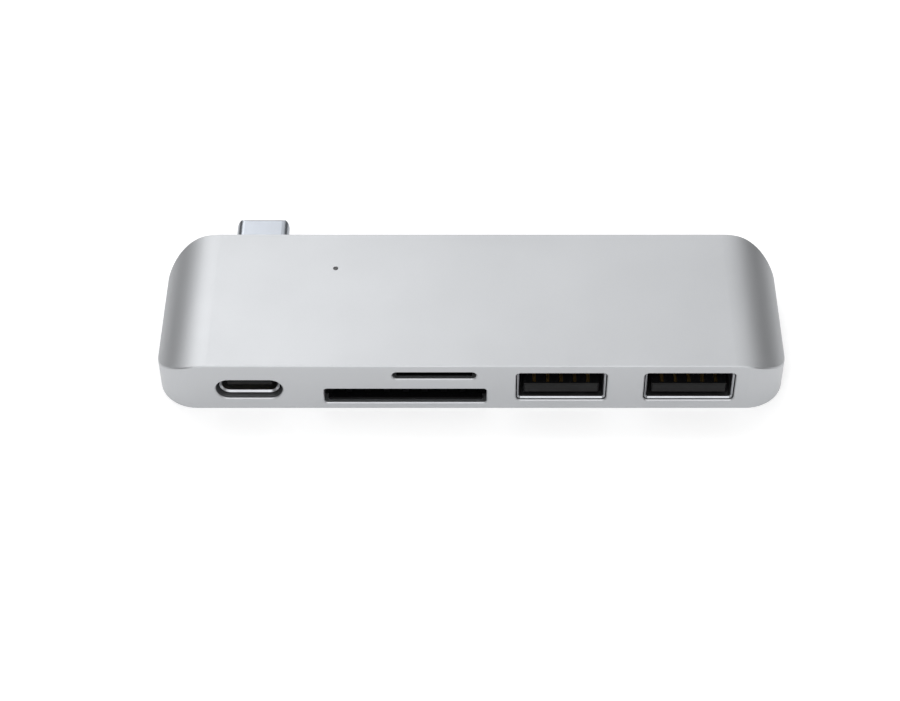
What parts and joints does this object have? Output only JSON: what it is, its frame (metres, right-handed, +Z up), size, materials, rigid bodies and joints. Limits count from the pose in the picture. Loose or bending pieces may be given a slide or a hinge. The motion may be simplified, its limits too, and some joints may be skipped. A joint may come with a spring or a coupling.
{
  "type": "usb hub",
  "caption": "Slim aluminium plug-in hub with a fixed USB-C plug, USB-A and USB-C sockets, and SD and microSD card slots.",
  "frame": {"origin": "centre of the casing underside, on the surface the hub lies on", "axes": "+X along the casing to the right seen from the port side, +Y from the port face to the plug, +Z up"},
  "size_m": [0.094, 0.0346, 0.0092],
  "materials": {
    "anodised_aluminium": "bead-blasted and silver anodised, satin",
    "cover_aluminium": "bead-blasted and silver anodised, satin",
    "plug_steel": "bright drawn stainless steel",
    "socket_steel": "bright rolled stainless steel",
    "spring_steel": "spring temper stainless steel",
    "screw_steel": "nickel plated steel",
    "gold_contacts": "gold flashed copper alloy",
    "tin": "tinned end caps",
    "black_plastic": "black glass-filled polymer, satin",
    "card_plastic": "black glass-filled polymer, matte",
    "slider_plastic": "natural low-friction polymer",
    "clear_plastic": "clear moulded light guide",
    "lamp": "pale phosphor resin",
    "board": "dark green solder mask over glass laminate",
    "chip_resin": "matte black moulding resin",
    "ferrite": "grey pressed ferrite",
    "capacitor_body": "tan ceramic",
    "resistor_body": "black glazed ceramic",
    "tape": "black acrylic foam tape",
    "film": "black polyester insulating film",
    "silicone_pad": "soft blue-grey silicone"
  },
  "bodies": {
    "casing": {"top_housing": "anodised_aluminium", "bottom_cover": "cover_aluminium", "adhesive_frame": "tape", "insulating_film": "film", "thermal_pad": "silicone_pad", "light_pipe": "clear_plastic", "status_led": "lamp", "main_board": "board", "board_screws": "screw_steel", "bracket_screws": "screw_steel", "plug_shell": "plug_steel", "plug_insulator": "black_plastic", "plug_carriers": "black_plastic", "plug_contacts": "gold_contacts", "plug_latch_plate": "spring_steel", "plug_bracket": "spring_steel", "usb_c_shell": "socket_steel", "usb_c_tongue": "black_plastic", "usb_c_insulator": "black_plastic", "usb_c_mid_plate": "spring_steel", "usb_c_contacts": "gold_contacts", "sd_base": "card_plastic", "sd_frame": "card_plastic", "sd_cover": "socket_steel", "lever_pins": "screw_steel", "sd_contacts": "gold_contacts", "sd_switch_contacts": "gold_contacts", "microsd_base": "card_plastic", "microsd_frame": "card_plastic", "microsd_cover": "socket_steel", "microsd_contacts": "gold_contacts", "microsd_spring": "spring_steel", "microsd_switch_contact": "gold_contacts", "hub_chip": "chip_resin", "reader_chip": "chip_resin", "power_chip": "chip_resin", "power_switches": "chip_resin", "clock_crystal": "socket_steel", "inductors": "ferrite", "capacitors": "capacitor_body", "resistors": "resistor_body", "part_terminals": "tin", "protection_diodes": "chip_resin", "usb_a_1_shell": "socket_steel", "usb_a_1_tongue": "black_plastic", "usb_a_1_spacer": "black_plastic", "usb_a_1_power_contacts": "gold_contacts", "usb_a_1_fast_contacts": "gold_contacts", "usb_a_2_shell": "socket_steel", "usb_a_2_tongue": "black_plastic", "usb_a_2_spacer": "black_plastic", "usb_a_2_power_contacts": "gold_contacts", "usb_a_2_fast_contacts": "gold_contacts"},
    "microsd_slider": {"microsd_slider": "slider_plastic"},
    "microsd_latch_pin": {"microsd_latch_pin": "spring_steel"},
    "sd_detect_lever": {"sd_detect_lever": "gold_contacts"},
    "sd_protect_lever": {"sd_protect_lever": "gold_contacts"},
    "microsd_detect_lever": {"microsd_detect_lever": "gold_contacts"}
  },
  "joints": [
    {"name": "microsd_push", "type": "slide", "parent": "casing", "child": "microsd_slider", "axis": [0, 1, 0], "range_m": [0, 0.0043], "stiffness_N_per_m": 300, "springref_m": -0.003, "deforming": ["microsd_spring"]},
    {"name": "microsd_latch_turn", "type": "hinge", "parent": "casing", "child": "microsd_latch_pin", "pos_m": [0.0008, 0.0047, 0.0073], "axis": [0, 0, 1], "range_deg": [0, 11.33]},
    {"name": "sd_detect_turn", "type": "hinge", "parent": "casing", "child": "sd_detect_lever", "pos_m": [0.00292, 0.0004, 0.00278], "axis": [0, 0, -1], "range_deg": [0, 6], "stiffness_Nm_per_rad": 0.005, "springref_deg": -5.73},
    {"name": "sd_protect_turn", "type": "hinge", "parent": "casing", "child": "sd_protect_lever", "pos_m": [-0.02258, -0.005, 0.00278], "axis": [0, 0, 1], "range_deg": [0, 6], "stiffness_Nm_per_rad": 0.005, "springref_deg": -5.73},
    {"name": "microsd_detect_turn", "type": "hinge", "parent": "casing", "child": "microsd_detect_lever", "pos_m": [-0.01153, -0.006, 0.00707], "axis": [0, 0, 1], "range_deg": [0, 5.5], "stiffness_Nm_per_rad": 0.003, "springref_deg": -5.73}
  ]
}
